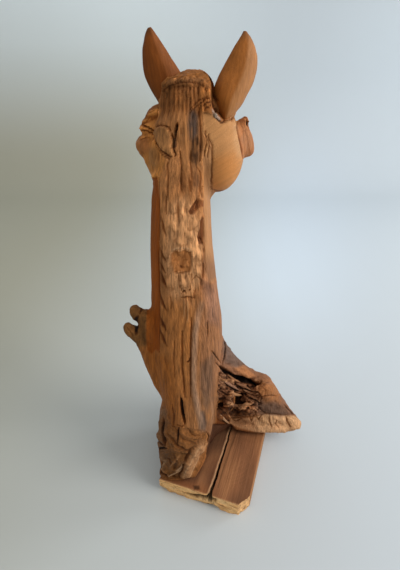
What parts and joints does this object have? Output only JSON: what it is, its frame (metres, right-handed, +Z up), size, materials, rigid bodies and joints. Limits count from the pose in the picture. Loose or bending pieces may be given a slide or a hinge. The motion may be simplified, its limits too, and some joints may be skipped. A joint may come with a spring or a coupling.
{
  "type": "carved horse head sculpture",
  "caption": "Tall carved wooden horse head and neck with upright ears and a natural root base, standing on a cracked rectangular wooden plinth.",
  "frame": {"origin": "centre of the plinth's underside", "axes": "+Z up; the horse looks along -Y, turned 18.6 degrees towards +X; +X is the horse's left, where the small knob is, and the root flare runs out to -X"},
  "size_m": [0.2473, 0.24, 0.616],
  "materials": {
    "sculpture_wood": "hand carved, waxed, weathered in places",
    "ear_left_wood": "hand carved, smooth",
    "ear_right_wood": "hand carved, smooth",
    "plinth_wood": "sawn, aged, raw on the split end"
  },
  "bodies": {
    "root": {"sculpture": "sculpture_wood", "ear_left": "ear_left_wood", "ear_right": "ear_right_wood", "plinth": "plinth_wood"}
  },
  "joints": []
}
